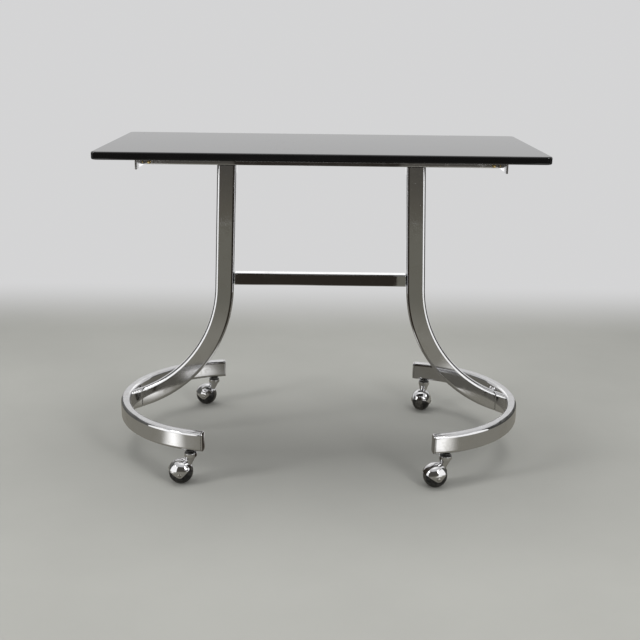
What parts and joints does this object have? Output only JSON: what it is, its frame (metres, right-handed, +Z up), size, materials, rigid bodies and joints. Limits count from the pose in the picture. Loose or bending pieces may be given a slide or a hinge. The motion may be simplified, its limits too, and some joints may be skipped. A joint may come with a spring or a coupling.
{
  "type": "rolling side table",
  "caption": "Rolling side table: dark glass top on a chromed tube frame with swept legs, C-shaped feet and hooded swivel casters.",
  "frame": {"origin": "on the floor under the middle of the table top", "axes": "+X along the table's length, +Y from front to back, +Z up"},
  "size_m": [0.8524, 0.4936, 0.65],
  "materials": {
    "dark_glass": "black tinted float glass, polished edge",
    "chrome": "bright chrome plate on steel tube and sheet",
    "black_rubber": "smooth black rubber, slightly worn",
    "black_plastic": "moulded black plastic",
    "zinc_steel": "plain turned steel",
    "yellow_zinc": "yellow passivated screw",
    "clear_vinyl": "yellowed clear vinyl"
  },
  "bodies": {
    "frame": {"caster_socket_left_back": "black_plastic", "caster_socket_left_front": "black_plastic", "caster_socket_right_back": "black_plastic", "caster_socket_right_front": "black_plastic", "end_bar_left": "chrome", "end_bar_right": "chrome", "foot_cap_left_back": "chrome", "foot_cap_left_front": "chrome", "foot_cap_right_back": "chrome", "foot_cap_right_front": "chrome", "foot_left": "chrome", "foot_right": "chrome", "glass_pad_left_back": "clear_vinyl", "glass_pad_left_front": "clear_vinyl", "glass_pad_right_back": "clear_vinyl", "glass_pad_right_front": "clear_vinyl", "glass_top": "dark_glass", "leg_connector_left": "chrome", "leg_connector_right": "chrome", "leg_left": "chrome", "leg_right": "chrome", "rail_screw_left": "yellow_zinc", "rail_screw_right": "yellow_zinc", "stretcher": "chrome", "top_rail": "chrome"},
    "caster_left_front": {"caster_stem_left_front": "zinc_steel", "caster_seal_left_front": "black_plastic", "caster_hood_left_front": "chrome", "caster_axle_left_front": "zinc_steel"},
    "wheel_left_front": {"caster_wheel_left_front": "black_rubber"},
    "caster_right_front": {"caster_stem_right_front": "zinc_steel", "caster_seal_right_front": "black_plastic", "caster_hood_right_front": "chrome", "caster_axle_right_front": "zinc_steel"},
    "wheel_right_front": {"caster_wheel_right_front": "black_rubber"},
    "caster_left_back": {"caster_stem_left_back": "zinc_steel", "caster_seal_left_back": "black_plastic", "caster_hood_left_back": "chrome", "caster_axle_left_back": "zinc_steel"},
    "wheel_left_back": {"caster_wheel_left_back": "black_rubber"},
    "caster_right_back": {"caster_stem_right_back": "zinc_steel", "caster_seal_right_back": "black_plastic", "caster_hood_right_back": "chrome", "caster_axle_right_back": "zinc_steel"},
    "wheel_right_back": {"caster_wheel_right_back": "black_rubber"}
  },
  "joints": [
    {"name": "swivel_left_front", "type": "hinge", "parent": "frame", "child": "caster_left_front", "pos_m": [-0.252, -0.21814, 0.06], "axis": [0, 0, 1], "continuous": true},
    {"name": "spin_left_front", "type": "hinge", "parent": "caster_left_front", "child": "wheel_left_front", "pos_m": [-0.272, -0.21814, 0.0238], "axis": [0, -1, 0], "continuous": true},
    {"name": "swivel_right_front", "type": "hinge", "parent": "frame", "child": "caster_right_front", "pos_m": [0.252, -0.21814, 0.06], "axis": [0, 0, 1], "continuous": true},
    {"name": "spin_right_front", "type": "hinge", "parent": "caster_right_front", "child": "wheel_right_front", "pos_m": [0.2326, -0.22298, 0.0238], "axis": [0.2419, -0.9703, 0], "continuous": true},
    {"name": "swivel_left_back", "type": "hinge", "parent": "frame", "child": "caster_left_back", "pos_m": [-0.252, 0.21814, 0.06], "axis": [0, 0, 1], "continuous": true},
    {"name": "spin_left_back", "type": "hinge", "parent": "caster_left_back", "child": "wheel_left_back", "pos_m": [-0.27141, 0.22298, 0.0238], "axis": [-0.2419, -0.9703, 0], "continuous": true},
    {"name": "swivel_right_back", "type": "hinge", "parent": "frame", "child": "caster_right_back", "pos_m": [0.252, 0.21814, 0.06], "axis": [0, 0, 1], "continuous": true},
    {"name": "spin_right_back", "type": "hinge", "parent": "caster_right_back", "child": "wheel_right_back", "pos_m": [0.24516, 0.19935, 0.0238], "axis": [0.9397, -0.342, 0], "continuous": true}
  ]
}
